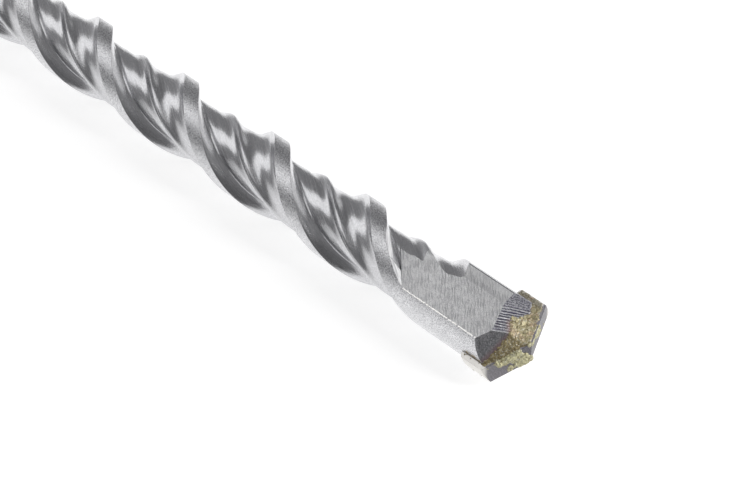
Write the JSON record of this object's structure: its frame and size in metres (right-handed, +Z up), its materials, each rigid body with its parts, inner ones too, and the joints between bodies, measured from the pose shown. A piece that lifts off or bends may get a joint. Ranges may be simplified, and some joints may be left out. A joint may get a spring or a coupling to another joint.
{
  "type": "sds plus drill bit",
  "caption": "Masonry drill bit with a grooved quick-change shank, right-hand helical flutes and a brazed carbide cutting plate.",
  "frame": {"origin": "centre of the shank's flat rear end", "axes": "+X runs along the bit's axis from the shank to the point, +Z is up as the bit lies on its lands"},
  "size_m": [0.21, 0.0114, 0.0106],
  "materials": {
    "steel": "finely blasted, satin",
    "carbide": "ground matte",
    "braze": "lumpy, as it flowed"
  },
  "bodies": {
    "root": {"steel_body": "steel", "carbide_plate": "carbide", "braze": "braze"}
  },
  "joints": []
}
